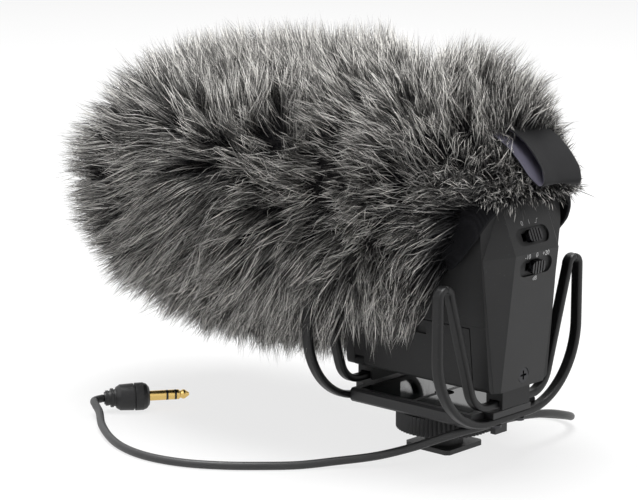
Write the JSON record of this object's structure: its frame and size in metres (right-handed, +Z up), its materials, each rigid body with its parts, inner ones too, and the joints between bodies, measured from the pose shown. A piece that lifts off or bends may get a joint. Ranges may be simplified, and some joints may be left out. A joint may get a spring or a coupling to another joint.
{
  "type": "furry microphone windscreen",
  "caption": "Long-pile fur windscreen pulled over a camera-top shotgun microphone, on lyre shock mounts with a shoe foot, lock ring, cable and stereo plug.",
  "frame": {"origin": "centre of the shoe foot's underside", "axes": "+Z up, +Y the way the microphone points, +X to its right seen from behind"},
  "size_m": [0.1298, 0.2038, 0.1269],
  "materials": {
    "fur": "long synthetic pile, dark roots and pale tips",
    "knit": "black knitted backing",
    "ribbon": "black woven ribbon",
    "foam": "open-cell foam",
    "body": "black moulded plastic, fine satin grain",
    "spring": "flexible black plastic",
    "gloss": "polished black plastic",
    "rubber": "soft black rubber",
    "jacket": "dark grey cable jacket",
    "gold": "gold plate",
    "brass": "machined brass",
    "steel": "plain steel",
    "board": "green circuit board",
    "battery": "printed metal jacket, left blank",
    "tube": "black anodised tube"
  },
  "bodies": {
    "mount": {"shoe_foot": "body", "thread_bush": "brass", "base_bar": "body", "bar_inlays": "gloss", "base_screw": "steel", "cable_clip": "body", "rear_lyre": "spring", "front_lyre": "spring", "lyre_screws": "steel", "cable": "jacket", "plug_boot": "rubber", "plug_body": "rubber", "plug_sleeve": "gold", "plug_ring": "gold", "plug_tip": "gold", "plug_insulators": "body"},
    "clamp_washer": {"clamp_washer": "rubber"},
    "lock_ring": {"lock_ring": "body", "ring_nut": "brass"},
    "microphone": {"lyre_clips": "body", "battery_box": "body", "upper_housing": "body", "rear_panel": "body", "rear_screw": "steel", "circuit_board": "board", "board_screws": "steel", "power_switch": "body", "level_switch": "body", "battery": "battery", "battery_snap": "body", "battery_pad": "foam", "hinge_pin": "steel", "capsule": "tube", "capsule_seal": "rubber", "tube_collar": "body", "interference_tube": "tube", "tube_grille": "body", "foam_windshield": "foam", "cable_gland": "rubber"},
    "power_knob": {"power_knob": "gloss"},
    "level_knob": {"level_knob": "gloss"},
    "battery_door": {"battery_door": "body"},
    "windscreen": {"backing_sleeve": "knit", "hood_lining": "knit", "elastic_hem": "knit", "fur_sleeve": "fur", "fur_hood": "fur", "pull_tab": "ribbon"}
  },
  "joints": [
    {"name": "mic_float", "type": "slide", "parent": "mount", "child": "microphone", "axis": [0, 1, 0], "range_m": [-0.003, 0.003], "stiffness_N_per_m": 500, "deforming": ["front_lyre", "rear_lyre", "cable"]},
    {"name": "windscreen_slide", "type": "slide", "parent": "microphone", "child": "windscreen", "axis": [0, 1, 0], "range_m": [0, 0.18]},
    {"name": "power_slide", "type": "slide", "parent": "microphone", "child": "power_knob", "axis": [1, 0, 0], "range_m": [-0.0025, 0.0025]},
    {"name": "level_slide", "type": "slide", "parent": "microphone", "child": "level_knob", "axis": [1, 0, 0], "range_m": [-0.0025, 0.0025]},
    {"name": "door_hinge", "type": "hinge", "parent": "microphone", "child": "battery_door", "pos_m": [-0.0133, 0.0009, 0.0273], "axis": [0, -1, 0], "range_deg": [0, 95]},
    {"name": "pad_slide", "type": "slide", "parent": "mount", "child": "clamp_washer", "axis": [0, 0, 1], "range_m": [-0.0035, 0]},
    {"name": "ring_turn", "type": "hinge", "parent": "clamp_washer", "child": "lock_ring", "pos_m": [0, 0, 0.0097], "axis": [0, 0, 1], "range_deg": [-1260, 0]}
  ],
  "couplings": [
    {"joint": "pad_slide", "follows": "ring_turn", "m_per_rad": 0.000159}
  ]
}
